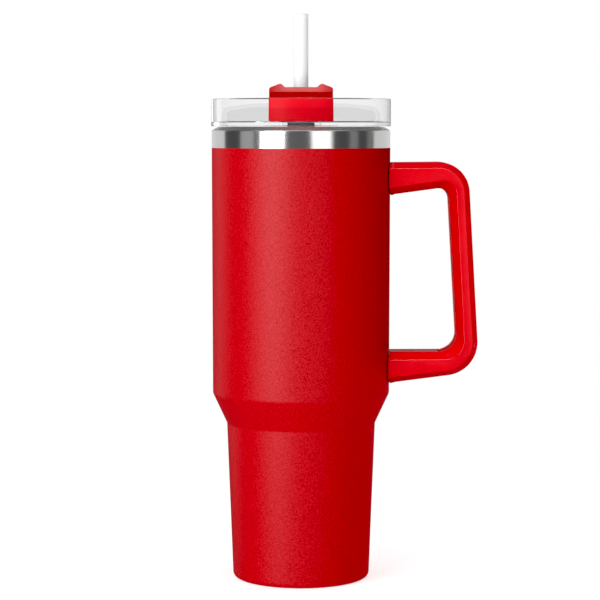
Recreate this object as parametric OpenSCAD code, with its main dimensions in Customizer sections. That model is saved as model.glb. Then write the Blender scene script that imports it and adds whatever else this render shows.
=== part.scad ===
// Insulated travel mug: a vacuum-walled steel cup with a side handle,
// a clear push-in lid with a sliding cover, and a straight straw.
// Origin: centre of the base, on the surface it stands on. +Z up, handle towards +X,
// sip opening towards -Y.

/* [Cup] */
// Outer diameter of the body just under the bare steel band
body_d = 99.2; // [97:0.2:100]
// Outer diameter of the body just above the shoulder
shoulder_d = 98.6; // [97:0.2:99]
// Outer diameter of the cup-holder stem under the shoulder
stem_d = 82.9; // [81:0.1:84]
// Outer diameter of the stem at the base
base_d = 76.2; // [75:0.1:77]
// Height of the foot of the shoulder
shoulder_low_z = 87.3; // [85:0.1:88]
// Height of the top of the shoulder
shoulder_high_z = 104.1; // [102:0.1:105]
// Height at which the powder coat ends and the bare steel band starts
coat_z = 240.8; // [240:0.1:242]
// Height of the steel drinking lip
lip_z = 252.4; // [252:0.1:253]
// Wall thickness of the outer shell
shell_t = 0.8; // [0.6:0.1:0.9]
// Wall thickness of the inner liner
liner_t = 0.7; // [0.5:0.1:0.8]

/* [Handle] */
// Overall width of the handle, front to back
handle_w = 27; // [25:0.5:29]
// Distance from the mug's axis to the outer face of the grip at its foot
handle_reach = 99.1; // [98:0.1:101]
// Height of the top of the handle
handle_top_z = 233.1; // [232:0.1:234]
// Height at which the handle's lower arm turns up into the grip, on its back
handle_foot_z = 116.8; // [116:0.1:118]
// Gap between the handle's ends and the body
handle_gap = 0.4; // [0.3:0.1:0.6]

/* [Lid] */
// Outer diameter of the lid's splash wall
lid_d = 99.7; // [99:0.1:100.5]
// Height of the splash wall above the lid's flange
lid_wall_h = 15.1; // [14:0.1:17]
// Travel of the sliding cover, from closed to fully open
cover_travel = 14; // [12:0.5:14]

/* [Straw] */
// Outer diameter of the straw
straw_d = 8.1; // [7.8:0.1:8.2]
// Height of the top of the straw
straw_top_z = 314.5; // [290:0.5:330]

/* [Hidden] */
$fn = 96;

coat_red = [0.80, 0.02, 0.06];
bare_steel = [0.72, 0.73, 0.74];
foil_copper = [0.80, 0.48, 0.33];
clear_plastic = [0.90, 0.93, 0.94, 0.45];
clear_silicone = [0.86, 0.87, 0.86];

// Cup outline, as [radius, height, corner radius]
body_r = body_d / 2;
shoulder_r = shoulder_d / 2;
stem_r = stem_d / 2;
base_r = base_d / 2;
band_r = body_r - 0.1;           // bare steel, thinner than the coated wall by the coat
hem_r = 33;                      // inner edge of the turned-in hem the mug stands on
hem_corner = 3;

// Vacuum space
liner_base_z = 12;
liner_base_r = base_r - 3.9;
liner_stem_r = stem_r - 4.1;
liner_shoulder_r = shoulder_r - 3.9;
liner_mouth_r = 45.6;            // outside of the liner's wall at the mouth
mouth_r = liner_mouth_r - liner_t;
lip_flat = 1.1;                  // level top of the lip
lip_fall = 2.1;                  // from the lip's top to the band, down the lip's slope
lip_low_z = lip_z - 3.2;
base_plate_z = 5;
foil_t = 0.15;
foil_gap = 0.1;
foil_low_z = 24;
foil_high_z = 232;

// Base cap: a disc over the seal, whose rim is pressed over the hem
cap_r = 34.8;
cap_t = 0.6;
cap_dish_r = 31.4;
cap_dish_h = 1.6;

// Handle joints
upper_z = handle_top_z - 8.3;
lower_z = handle_foot_z + 3;
tongue_end_x = 66;
tongue_half_w = 5;
tongue_half_t = 3;
saddle_half_w = 8.5;
saddle_half_h = 7;
saddle_t = 1;
screw_x = 59;
screw_r = 2;
screw_head_r = 3.6;
screw_head_h = 2;
seat_gap = 1.4;                  // plastic left between a screw's head and the tongue
fit_gap = 0.05;                  // clearance of parts that are clamped, pressed or welded
socket_gap = 0.25;               // clearance of a bracket's tongue and a screw's shank in the plastic
bore_gap = 0.3;                  // clearance of a bracket's saddle and a screw's head in the plastic
plug_sink = 0.1;                 // depth of a plug's end under the palm side

// Handle section
side_half_w = handle_w / 2;
back_half_w = side_half_w - 4.5;
palm_half_w = side_half_w - 5;
back_chamfer = 3.2;
palm_chamfer = 4;
insert_half_w = 6.5;
insert_t = 2;
core_half_w = 5.2;
handle_wall = 2.6;
root_depth = 18.5;               // of the upper arm at the body
upper_arm_depth = 13.8;          // of the upper arm where it turns down into the grip
lower_arm_depth = 10.8;          // of the lower arm where it turns up into the grip
lower_arm_fall = 6.7;            // drop of the lower arm's underside towards the body
grip_depth = 12.1;
grip_lean = 0.0584;              // the grip leans outwards towards its foot
root_x = 47;

// Lid
lid_r = lid_d / 2;
flange_z = lip_z + 0.3;
flange_t = 2;
deck_z = flange_z + flange_t;    // floor of the lid, on which the cover slides
lid_top_z = flange_z + lid_wall_h;
splash_wall_t = 2;
splash_draft = 0.4;
dome_foot_r = 44.3;
dome_r = 43.6;
dome_edge_h = 7.8;               // height above the deck at which the dome turns in
dome_h = 10.5;                   // height of the dome's crown above the deck
crown_r = 28;
crown_drop = 0.8;                // from the dome's crown to its height at crown_r
dome_wall = 2;
plug_r = 43.3;
plug_low_z = lip_z - 10.6;
groove_low_z = plug_low_z + 3;
groove_high_z = plug_low_z + 8;
groove_depth = 1.3;
pocket_half_w = 17.6;
pocket_front_r = 41.5;
pocket_back_y = 30;
pocket_wall = 1.2;
pocket_h = 20;                   // past the top of the dome
sip_y = -34;
sip_half_w = 10;
sip_r = 3.5;
grommet_r = 6.2;
vent_r = 1;
vent_y = 10;
rail_front_y = -10;
rail_back_y = 26;
rail_z = deck_z + 3;
rail_h = 1.2;
rail_reach = 0.9;
rail_root = 0.5;                 // depth of a rail's root in the pocket's wall

// Sliding cover
cover_half_w = 17.25;
cover_front_r = 41;
cover_back_y = 14;
cover_low_z = deck_z + 0.4;
carriage_top_z = deck_z + 13.2;
carriage_wall = 3.2;
groove_x = 0.95;                 // depth of the carriage's grooves, in which the rails run
groove_clear = 0.3;
neck_front_r = 37.6;             // finger groove under the grip's front lip
grip_lip_z = carriage_top_z + 3.2;
grip_z = carriage_top_z + 5.8;   // saddle between the two ears
ear_z = grip_z + 1.8;
ear_outer_x = 11.8;
ear_inner_x = 10.6;
saddle_x = 8.6;
grip_lip_r = cover_front_r - 0.6;
grip_bevel = 4.2;
slot_r = 4.7;
slot_wall = 1.6;
seal_half_w = 11.3;
seal_front_y = -38.2;
seal_back_y = -29.7;
seal_seat_h = 2;

// Straw
straw_r = straw_d / 2;
straw_t = 0.8;
straw_low_z = 15;

// ---------------------------------------------------------------- functions

function unit(v) = v / norm(v);
function spot(p) = [p[0], p[1]];
function turn(a) = a > 180 ? a - 360 : a < -180 ? a + 360 : a;

// The arc of radius r that rounds the corner b between a and c
function corner(a, b, c, r, n) =
    let (
        u = unit(a - b),
        v = unit(c - b),
        half = acos(u * v) / 2,
        o = b + unit(u + v) * r / sin(half),
        s = b + u * r / tan(half) - o,
        e = b + v * r / tan(half) - o,
        from = atan2(s[1], s[0]),
        sweep = turn(atan2(e[1], e[0]) - from)
    )
    [for (i = [0:n]) o + r * [cos(from + sweep * i / n), sin(from + sweep * i / n)]];

// An open path of [x, y, corner radius], with its inner corners rounded
function rounded(p, n = 6) = [
    for (i = [0:len(p) - 1])
        each i > 0 && i < len(p) - 1 && p[i][2] > 0
            ? corner(spot(p[i - 1]), spot(p[i]), spot(p[i + 1]), p[i][2], n)
            : [spot(p[i])]
];
function reversed(p) = [for (i = [len(p) - 1:-1:0]) p[i]];
function shifted(p, dx) = [for (q = p) [q[0] + dx, q[1], q[2]]];
function between(a, b, y) = a[0] + (b[0] - a[0]) * (y - a[1]) / (b[1] - a[1]);

// ---------------------------------------------------------------- cup

shell_outside = [
    [hem_r, 0, 0],
    [base_r, 0, hem_corner],
    [stem_r, shoulder_low_z, 3],
    [shoulder_r, shoulder_high_z, 5],
    [body_r, coat_z, 0]
];
shell_inside = [
    [hem_r, shell_t, 0],
    [base_r - shell_t, shell_t, hem_corner - shell_t],
    [stem_r - shell_t, shoulder_low_z, 3],
    [shoulder_r - shell_t, shoulder_high_z, 5],
    [body_r - shell_t, coat_z, 0]
];
liner_outside = [
    [0, liner_base_z, 0],
    [liner_base_r, liner_base_z, 8],
    [liner_stem_r, shoulder_low_z + 1, 4],
    [liner_shoulder_r, shoulder_high_z + 2, 5],
    [liner_mouth_r, lip_low_z, 0]
];
liner_inside = [
    [0, liner_base_z + liner_t, 0],
    [liner_base_r - liner_t, liner_base_z + liner_t, 8 - liner_t],
    [liner_stem_r - liner_t, shoulder_low_z + 1, 4],
    [liner_shoulder_r - liner_t, shoulder_high_z + 2, 5],
    [mouth_r, lip_low_z, 0]
];
// The liner's wall rolls out over the lip and down as the bare band
lip_outside = [
    [mouth_r, lip_low_z, 0],
    [mouth_r, lip_z, 0.5],
    [mouth_r + lip_flat, lip_z, 0.5],
    [band_r, lip_z - lip_fall, 1],
    [band_r, coat_z, 0]
];
lip_inside = [
    [liner_mouth_r, lip_low_z, 0],
    [liner_mouth_r, lip_z - liner_t - 0.4, 0],
    [mouth_r + lip_flat, lip_z - liner_t - 0.3, 0],
    [band_r - shell_t, lip_z - lip_fall - 0.5, 1],
    [band_r - shell_t, coat_z, 0]
];

module outer_shell() {
    color(coat_red)
        rotate_extrude()
            polygon(concat(rounded(shell_outside), reversed(rounded(shell_inside))));
}

module inner_liner() {
    color(bare_steel)
        rotate_extrude()
            polygon(concat(
                rounded(liner_inside), rounded(lip_outside),
                reversed(rounded(lip_inside)), reversed(rounded(liner_outside))
            ));
}

// Copper foil wrapped round the liner, which turns back radiant heat
module foil_shield() {
    wrap = [
        [between(liner_outside[1], liner_outside[2], foil_low_z), foil_low_z, 0],
        liner_outside[2],
        liner_outside[3],
        [between(liner_outside[3], liner_outside[4], foil_high_z), foil_high_z, 0]
    ];
    color(foil_copper)
        rotate_extrude()
            polygon(concat(
                rounded(shifted(wrap, foil_gap + foil_t)),
                reversed(rounded(shifted(wrap, foil_gap)))
            ));
}

getter_r = 5;
getter_h = 2.2;
clip_t = 0.3;
getter_low_z = liner_base_z - getter_h - 0.4;

module getter_pellet() {
    color("dimgray")
        translate([0, 0, getter_low_z])
            cylinder(h = getter_h, r = getter_r - fit_gap);
}

// Pressed cup that holds the getter pellet under the liner
module getter_clip() {
    flange_r = getter_r + 3;
    color(bare_steel)
        rotate_extrude()
            polygon([
                [0, getter_low_z - fit_gap - clip_t],
                [getter_r + clip_t, getter_low_z - fit_gap - clip_t],
                [getter_r + clip_t, liner_base_z - fit_gap - clip_t],
                [flange_r, liner_base_z - fit_gap - clip_t],
                [flange_r, liner_base_z - fit_gap],
                [getter_r, liner_base_z - fit_gap],
                [getter_r, getter_low_z - fit_gap],
                [0, getter_low_z - fit_gap]
            ]);
}

dimple_r = 5;
dimple_h = 1.5;
pump_hole_r = 0.8;
plate_flange_r = base_r - shell_t + 0.05;

// Plate welded in the stem's foot, which closes the vacuum space
module vacuum_base() {
    color(bare_steel)
        rotate_extrude()
            polygon([
                [pump_hole_r, base_plate_z + dimple_h],
                [dimple_r, base_plate_z + dimple_h],
                [dimple_r + 1.5, base_plate_z],
                [plate_flange_r - shell_t, base_plate_z],
                [plate_flange_r - shell_t, base_plate_z - 1.6],
                [plate_flange_r, base_plate_z - 1.6],
                [plate_flange_r, base_plate_z + shell_t],
                [dimple_r + 2, base_plate_z + shell_t],
                [dimple_r + 0.5, base_plate_z + dimple_h + shell_t],
                [pump_hole_r, base_plate_z + dimple_h + shell_t]
            ]);
}

// Glass solder that seals the pump hole
module seal_bead() {
    bead_r = 3.2;
    bead_h = 1.3;
    color("darkslategray")
        translate([0, 0, base_plate_z + dimple_h - bead_h])
            rotate_extrude()
                polygon(rounded([[0, bead_h, 0], [bead_r, bead_h, 0], [bead_r, 0, 1], [0, 0, 0]]));
}

// Steel disc pressed over the hem, which covers the seal
module base_cap() {
    low = shell_t + fit_gap;
    high = low + cap_dish_h;
    color(bare_steel)
        rotate_extrude()
            polygon(concat(
                rounded([
                    [0, high, 0], [cap_dish_r - 1, high, 0.6], [cap_dish_r, low, 0.4], [cap_r, low, 0]
                ], 4),
                reversed(rounded([
                    [0, high + cap_t, 0], [cap_dish_r - 0.5, high + cap_t, 1],
                    [cap_dish_r + 0.5, low + cap_t, 0.4], [cap_r, low + cap_t, 0]
                ], 4))
            ));
}

// ---------------------------------------------------------------- handle

// Solid of the coated body above the shoulder, grown by a gap
module grown_body(gap) {
    low = shoulder_high_z;
    translate([0, 0, low])
        cylinder(h = coat_z - low, r1 = shoulder_r + gap, r2 = body_r + gap);
}

// Steel saddle spot-welded to the shell, with a tapped tongue that enters the handle
module bracket(z) {
    color(bare_steel) {
        difference() {
            intersection() {
                grown_body(fit_gap + saddle_t);
                translate([20, -saddle_half_w, z - saddle_half_h])
                    cube([60, 2 * saddle_half_w, 2 * saddle_half_h]);
            }
            grown_body(fit_gap);
        }
        difference() {
            translate([body_r + saddle_t / 2, -tongue_half_w, z - tongue_half_t])
                cube([tongue_end_x - body_r - saddle_t / 2, 2 * tongue_half_w, 2 * tongue_half_t]);
            translate([screw_x, 0, z - tongue_half_t - 1])
                cylinder(h = 2 * tongue_half_t + 2, r = screw_r + fit_gap, $fn = 32);
        }
    }
}

module upper_bracket() { bracket(upper_z); }
module lower_bracket() { bracket(lower_z); }

// Outline of the loop in the XZ plane: its back, and its palm side round the opening
back_path = [
    [root_x, handle_top_z - 0.4, 0],
    [handle_reach - grip_lean * (handle_top_z - handle_foot_z), handle_top_z, 17.3],
    [handle_reach, handle_foot_z, 18.5],
    [root_x, handle_foot_z - lower_arm_fall, 0]
];
palm_top_z = handle_top_z - upper_arm_depth;
palm_foot = [handle_reach - grip_depth, handle_foot_z + lower_arm_depth];
palm_path = [
    [root_x, handle_top_z - root_depth, 0],
    [palm_foot[0] - grip_lean * (palm_top_z - palm_foot[1]), palm_top_z, 6],
    [palm_foot[0], palm_foot[1], 10],
    [root_x, palm_foot[1] - 0.1, 0]
];
bend_steps = 10;
back_line = rounded(back_path, bend_steps);
palm_line = rounded(palm_path, bend_steps);
first_bend = 1;                  // stations where the insert starts and ends
last_bend = len(back_line) - 2;

// A section point t millimetres from the palm side towards the back, at y
function section_point(i, t, y) =
    let (d = unit(back_line[i] - palm_line[i]), p = palm_line[i] + d * t)
    [p[0], y, p[1]];
function depth(i) = norm(back_line[i] - palm_line[i]);
function handle_section(i) = [
    [depth(i), back_half_w], [depth(i) - back_chamfer, side_half_w],
    [palm_chamfer, side_half_w], [0, palm_half_w],
    [0, -palm_half_w], [palm_chamfer, -side_half_w],
    [depth(i) - back_chamfer, -side_half_w], [depth(i), -back_half_w]
];
function insert_section() = [
    [insert_t, insert_half_w], [0.3, insert_half_w], [0, insert_half_w - 1.5],
    [0, 1.5 - insert_half_w], [0.3, -insert_half_w], [insert_t, -insert_half_w]
];

// A solid swept along the loop through a list of sections, one for each station
module loop_sweep(from, sections) {
    n = len(sections[0]);
    m = len(sections);
    points = [
        for (k = [0:m - 1], q = sections[k]) section_point(from + k, q[0], q[1])
    ];
    walls = [
        for (k = [0:m - 2], j = [0:n - 1])
            let (a = k * n + j, b = k * n + (j + 1) % n)
            each [[a, b, b + n], [a, b + n, a + n]]
    ];
    caps = [
        [for (j = [n - 1:-1:0]) j],
        [for (j = [0:n - 1]) (m - 1) * n + j]
    ];
    polyhedron(points, concat(walls, caps));
}

// A block with flat sides that follows the loop between two depths
module loop_block(from, to, near, far, half_w) {
    rotate([90, 0, 0])
        linear_extrude(height = 2 * half_w, center = true)
            polygon(concat(
                [for (i = [from:to], p = [section_point(i, near, 0)]) [p[0], p[2]]],
                [for (i = [to:-1:from], p = [section_point(i, far(i), 0)]) [p[0], p[2]]]
            ));
}

// Side of the tongue on which its screw enters: -1 from below, 1 from above
module screw_bore(z, side) {
    seat_z = z + side * (tongue_half_t + seat_gap);
    mouth_z = seat_z + side * (handle_wall + screw_head_h + 3);
    translate([screw_x, 0, min(seat_z, mouth_z)])
        cylinder(h = abs(mouth_z - seat_z), r = screw_head_r + bore_gap, $fn = 32);
    translate([screw_x, 0, min(z, seat_z + side)])
        cylinder(h = abs(seat_z + side - z), r = screw_r + socket_gap, $fn = 32);
}

module bracket_socket(z) {
    start_x = root_x - 5;
    translate([start_x, -tongue_half_w - socket_gap, z - tongue_half_t - socket_gap])
        cube([
            tongue_end_x + socket_gap - start_x,
            2 * (tongue_half_w + socket_gap), 2 * (tongue_half_t + socket_gap)
        ]);
    intersection() {
        grown_body(saddle_t + bore_gap);
        translate([start_x, -saddle_half_w - bore_gap, z - saddle_half_h - bore_gap])
            cube([
                screw_x - start_x,
                2 * (saddle_half_w + bore_gap), 2 * (saddle_half_h + bore_gap)
            ]);
    }
}

module handle_shell() {
    stations = [0:len(back_line) - 1];
    color(coat_red)
        difference() {
            loop_sweep(0, [for (i = stations) handle_section(i)]);
            loop_block(first_bend, last_bend, -1, function(i) insert_t + 0.1, insert_half_w + 0.1);
            loop_block(
                first_bend + 1, last_bend - 1, insert_t - 1,
                function(i) depth(i) - handle_wall, core_half_w
            );
            grown_body(handle_gap);
            bracket_socket(upper_z);
            bracket_socket(lower_z);
            screw_bore(upper_z, -1);
            screw_bore(lower_z, 1);
        }
}

// Soft strip that closes the hollow of the grip on its palm side
module handle_insert() {
    color([0.70, 0.02, 0.05])
        loop_sweep(first_bend, [for (i = [first_bend:last_bend]) insert_section()]);
}

module screw(z, side) {
    seat_z = z + side * (tongue_half_t + seat_gap);
    tip_z = z - side * (tongue_half_t - 0.5);
    socket_r = 1.4;
    translate([screw_x, 0, min(tip_z, seat_z)])
        cylinder(h = abs(seat_z - tip_z), r = screw_r, $fn = 32);
    difference() {
        translate([screw_x, 0, min(seat_z, seat_z + side * screw_head_h)])
            cylinder(h = screw_head_h, r = screw_head_r, $fn = 32);
        translate([screw_x, 0, side > 0 ? seat_z + 0.8 : seat_z - screw_head_h - 0.1])
            cylinder(h = screw_head_h - 0.7, r = socket_r, $fn = 6);
    }
}

module handle_screws() {
    color(bare_steel) {
        screw(upper_z, -1);
        screw(lower_z, 1);
    }
}

// Caps that hide the screw heads, cut to the slope of the handle's palm side
module screw_plugs() {
    plug_radius = screw_head_r + bore_gap - fit_gap;
    start = tongue_half_t + seat_gap + screw_head_h + fit_gap;
    reach = handle_wall + 3;
    color(coat_red)
        intersection() {
            loop_block(0, len(back_line) - 1, plug_sink, function(i) depth(i), side_half_w);
            union() {
                translate([screw_x, 0, upper_z - start - reach])
                    cylinder(h = reach, r = plug_radius, $fn = 32);
                translate([screw_x, 0, lower_z + start])
                    cylinder(h = reach, r = plug_radius, $fn = 32);
            }
        }
}

// ---------------------------------------------------------------- lid

// Lid outline in four parts, as [radius, height, corner radius]
dome_outside = [
    [dome_foot_r, deck_z, 0],
    [dome_r, deck_z + dome_edge_h, 4.5],
    [crown_r, deck_z + dome_h - crown_drop, 60],
    [0, deck_z + dome_h, 0]
];
dome_inside = [
    [plug_r - dome_wall, plug_low_z, 0],
    [plug_r - dome_wall, deck_z + dome_edge_h - dome_wall, 2.6],
    [crown_r, deck_z + dome_h - crown_drop - dome_wall, 60],
    [0, deck_z + dome_h - dome_wall, 0]
];
splash_wall = [
    [dome_foot_r + 0.5, deck_z, 0],
    [lid_r - splash_wall_t, deck_z, 0.8],
    [lid_r - splash_wall_t + splash_draft, lid_top_z, 0.8],
    [lid_r, lid_top_z, 0.6],
    [lid_r, flange_z, 0.4],
    [plug_r, flange_z, 0]
];
plug = [
    [plug_r, groove_high_z],
    [plug_r - groove_depth, groove_high_z],
    [plug_r - groove_depth, groove_low_z],
    [plug_r, groove_low_z],
    [plug_r, plug_low_z + 1],
    [plug_r - 0.6, plug_low_z]
];

// Plan of the pocket in which the cover slides
module pocket_plan(grow) {
    intersection() {
        translate([-pocket_half_w - grow, -60])
            square([2 * (pocket_half_w + grow), 60 + pocket_back_y + grow]);
        circle(r = pocket_front_r + grow);
    }
}

module sip_hole() {
    for (x = [-1, 1])
        translate([x * (sip_half_w - sip_r), sip_y, flange_z - 1])
            cylinder(h = flange_t + 2, r = sip_r, $fn = 48);
    translate([sip_r - sip_half_w, sip_y - sip_r, flange_z - 1])
        cube([2 * (sip_half_w - sip_r), 2 * sip_r, flange_t + 2]);
}

module rail(side) {
    wide = rail_reach + rail_root;
    translate([side * (pocket_half_w - rail_reach + wide / 2) - wide / 2, rail_front_y, rail_z])
        cube([wide, rail_back_y - rail_front_y, rail_h]);
}

module lid_body() {
    color(clear_plastic)
        difference() {
            union() {
                difference() {
                    union() {
                        rotate_extrude()
                            polygon(concat(
                                rounded(splash_wall), plug, rounded(dome_inside),
                                reversed(rounded(dome_outside))
                            ));
                        intersection() {
                            translate([0, 0, flange_z])
                                linear_extrude(height = pocket_h)
                                    pocket_plan(pocket_wall);
                            rotate_extrude()
                                polygon(concat(
                                    [[0, flange_z], [dome_foot_r, flange_z]],
                                    rounded(dome_outside)
                                ));
                        }
                    }
                    translate([0, 0, deck_z])
                        linear_extrude(height = pocket_h)
                            pocket_plan(0);
                }
                rail(-1);
                rail(1);
            }
            sip_hole();
            translate([0, 0, flange_z - 1])
                cylinder(h = flange_t + 2, r = grommet_r);
            translate([0, vent_y, flange_z - 1])
                cylinder(h = flange_t + 2, r = vent_r, $fn = 24);
        }
}

// Silicone ring round the plug, with two lips that press on the liner
module lid_gasket() {
    seat_r = plug_r - groove_depth + fit_gap;
    lip_r = mouth_r - 0.3;
    low = groove_low_z + fit_gap;
    high = groove_high_z - fit_gap;
    color(clear_silicone)
        rotate_extrude()
            polygon([
                [seat_r, low], [plug_r, low], [lip_r, low + 0.9], [lip_r, low + 1.5],
                [plug_r + 0.1, low + 1.6], [plug_r + 0.1, high - 2],
                [lip_r, high - 1.1], [lip_r, high - 0.5], [plug_r, high], [seat_r, high]
            ]);
}

// Silicone ring in the deck, which wipes the straw
module straw_grommet() {
    lower_flange_r = grommet_r + 1.6;
    color(clear_silicone)
        rotate_extrude()
            polygon([
                [straw_r + 0.1, flange_z - 1.6],
                [lower_flange_r, flange_z - 1.6],
                [lower_flange_r, flange_z - fit_gap],
                [grommet_r - fit_gap, flange_z - fit_gap],
                [grommet_r - fit_gap, deck_z],
                [straw_r + 0.5, deck_z],
                [straw_r + 0.1, deck_z - 1.4]
            ]);
}

// ---------------------------------------------------------------- sliding cover

module cover_plan(front_r) {
    intersection() {
        translate([-cover_half_w, -60])
            square([2 * cover_half_w, 60 + cover_back_y]);
        circle(r = front_r);
    }
}

// Long hole that lets the cover slide past the straw, grown by a wall
module slot(grow, low, high) {
    r = slot_r + grow;
    for (y = [0, -cover_travel])
        translate([0, y, low])
            cylinder(h = high - low, r = r, $fn = 48);
    translate([-r, -cover_travel, low])
        cube([2 * r, cover_travel, high - low]);
}

// Moulded block that runs on the lid's rails
module cover_carriage() {
    front_y = -27;
    color(coat_red)
        difference() {
            translate([0, 0, cover_low_z])
                linear_extrude(height = carriage_top_z - cover_low_z)
                    cover_plan(cover_front_r);
            slot(0, cover_low_z - 1, carriage_top_z + 1);
            difference() {
                translate([carriage_wall - cover_half_w, front_y, cover_low_z - 1])
                    cube([
                        2 * (cover_half_w - carriage_wall), cover_back_y - 2 - front_y,
                        carriage_top_z - 1 - cover_low_z
                    ]);
                slot(slot_wall, cover_low_z - 2, carriage_top_z);
            }
            for (x = [-cover_half_w - 1, cover_half_w - groove_x])
                translate([x, front_y, rail_z - groove_clear])
                    cube([1 + groove_x, cover_back_y + 1 - front_y, rail_h + 2 * groove_clear]);
            translate([-seal_half_w, seal_front_y, cover_low_z - 1])
                cube([2 * seal_half_w, seal_back_y - seal_front_y, 1 + seal_seat_h]);
        }
}

// Front profile of the grip: a saddle between two ears for the fingers
grip_half = [
    [cover_half_w, carriage_top_z], [cover_half_w, grip_z - 0.9], [cover_half_w - 0.6, grip_z - 0.1],
    [ear_outer_x, ear_z], [ear_inner_x, ear_z], [saddle_x, grip_z]
];

// Grip snapped on the carriage, with a bevelled front lip over a finger groove
module cover_grip() {
    lip_h = ear_z - grip_lip_z;
    profile = concat(grip_half, reversed([for (p = grip_half) [-p[0], p[1]]]));
    color(coat_red)
        difference() {
            intersection() {
                translate([0, cover_back_y, 0])
                    rotate([90, 0, 0])
                        linear_extrude(height = 60 + cover_back_y)
                            polygon(profile);
                union() {
                    translate([0, 0, carriage_top_z + fit_gap])
                        linear_extrude(height = grip_lip_z - carriage_top_z)
                            cover_plan(neck_front_r);
                    translate([0, 0, grip_lip_z])
                        cylinder(h = lip_h, r1 = grip_lip_r, r2 = grip_lip_r - grip_bevel);
                }
            }
            slot(0, carriage_top_z - 1, ear_z + 1);
            translate([-30, cover_back_y + 1.2, grip_lip_z])
                rotate([45, 0, 0])
                    cube([60, 10, 10]);
        }
}

// Silicone pad that closes the sip opening
module cover_seal() {
    color(clear_silicone)
        translate([fit_gap - seal_half_w, seal_front_y + fit_gap, deck_z + 0.15])
            cube([
                2 * (seal_half_w - fit_gap), seal_back_y - seal_front_y - 2 * fit_gap,
                cover_low_z + seal_seat_h - fit_gap - deck_z - 0.15
            ]);
}

// ---------------------------------------------------------------- straw

module straw() {
    color([0.94, 0.94, 0.94, 0.7])
        translate([0, 0, straw_low_z])
            difference() {
                cylinder(h = straw_top_z - straw_low_z, r = straw_r);
                translate([0, 0, -1])
                    cylinder(h = straw_top_z - straw_low_z + 2, r = straw_r - straw_t);
            }
}

outer_shell();
inner_liner();
foil_shield();
getter_pellet();
getter_clip();
vacuum_base();
seal_bead();
base_cap();
upper_bracket();
lower_bracket();
handle_shell();
handle_insert();
handle_screws();
screw_plugs();
lid_body();
lid_gasket();
straw_grommet();
cover_carriage();
cover_grip();
cover_seal();
straw();
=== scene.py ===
"""Looks of the insulated travel mug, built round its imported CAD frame.

Sizes are in millimetres, in the CAD's frame: the mug stands on z = 0 with its axis at the origin,
its handle towards +X and its sip opening towards -Y, where the camera is.
"""
import math

import bmesh
import bpy
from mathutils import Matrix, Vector


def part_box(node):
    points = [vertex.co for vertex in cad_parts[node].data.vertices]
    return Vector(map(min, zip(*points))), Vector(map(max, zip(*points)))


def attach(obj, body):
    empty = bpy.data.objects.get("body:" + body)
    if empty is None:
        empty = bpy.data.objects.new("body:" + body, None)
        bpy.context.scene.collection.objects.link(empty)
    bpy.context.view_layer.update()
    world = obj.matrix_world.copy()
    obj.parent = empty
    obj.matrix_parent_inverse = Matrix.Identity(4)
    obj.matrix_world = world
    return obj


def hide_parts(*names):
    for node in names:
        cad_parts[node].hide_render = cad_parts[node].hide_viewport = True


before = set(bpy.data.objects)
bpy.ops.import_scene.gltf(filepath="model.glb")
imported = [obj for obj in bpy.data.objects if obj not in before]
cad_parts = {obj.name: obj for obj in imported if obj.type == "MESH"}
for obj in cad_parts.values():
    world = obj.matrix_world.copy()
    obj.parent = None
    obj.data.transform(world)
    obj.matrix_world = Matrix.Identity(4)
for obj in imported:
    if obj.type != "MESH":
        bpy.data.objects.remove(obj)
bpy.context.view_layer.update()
MM = 0.001


# ---------------------------------------------------------------- sizes

def box_mm(node):
    """Lowest and highest corner of a CAD node, in millimetres."""
    low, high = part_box(node)
    return low / MM, high / MM


COAT_Z = box_mm("outer_shell")[1].z
LIP_Z = box_mm("inner_liner")[1].z
STRAW_LOW, STRAW_HIGH = box_mm("straw")
CARRIAGE_LOW, CARRIAGE_HIGH = box_mm("cover_carriage")
GRIP_LOW, GRIP_HIGH = box_mm("cover_grip")
GASKET_LOW, GASKET_HIGH = box_mm("lid_gasket")
GROMMET_LOW, GROMMET_HIGH = box_mm("straw_grommet")

# Cup, as radii of its outside at the heights where its walls bend
BASE_R = 38.1
STEM_R = 41.45
STEM_Z = 87.3
SHOULDER_R = 49.3
SHOULDER_Z = 104.1
BODY_R = 49.6
BAND_R = 49.5
SHELL_T = 0.8
LINER_T = 0.7
HEM_R = 33
MOUTH_R = 44.9
LINER_FLOOR_Z = 12

# Handle: lines of its back and palm sides in the XZ plane, and its section
ROOT_X = 47
HANDLE_REACH = 99.1
HANDLE_TOP_Z = 233.1
HANDLE_FOOT_Z = 116.8
GRIP_DEPTH = 12.1
UPPER_ARM_DEPTH = 13.8
LOWER_ARM_DEPTH = 10.8
GRIP_LEAN = 0.0584
HANDLE_GAP = 0.4
SIDE_HALF_W = 13.5
BACK_HALF_W = 9
PALM_HALF_W = 8.5
BACK_CHAMFER = 3.2
PALM_CHAMFER = 4
PALM_CHAMFER_BEND = 1.3          # the palm side's chamfer widens by this in the bends
CREASE_R = 0.55
GROOVE_HALF_W = 6.6
GROOVE_DEPTH = 2.1
SCREW_X = 59
PLUG_BORE_R = 3.9
PLUG_BORE_SPANS = [(213, 219), (125, 129)]     # lowest and highest point of the cutters

SEGMENTS = 256                   # of a turned piece


# ---------------------------------------------------------------- meshes

def corner(a, b, c, radius, steps):
    """Points of the arc that rounds the corner b between a and c."""
    a, b, c = Vector(a), Vector(b), Vector(c)
    u, v = (a - b).normalized(), (c - b).normalized()
    half = u.angle(v) / 2
    centre = b + (u + v).normalized() * radius / math.sin(half)
    start = b + u * radius / math.tan(half) - centre
    end = b + v * radius / math.tan(half) - centre
    turn = math.atan2(start.x * end.y - start.y * end.x, start.dot(end))
    first = math.atan2(start.y, start.x)
    return [
        centre + radius * Vector((math.cos(first + turn * i / steps), math.sin(first + turn * i / steps)))
        for i in range(steps + 1)
    ]


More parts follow.
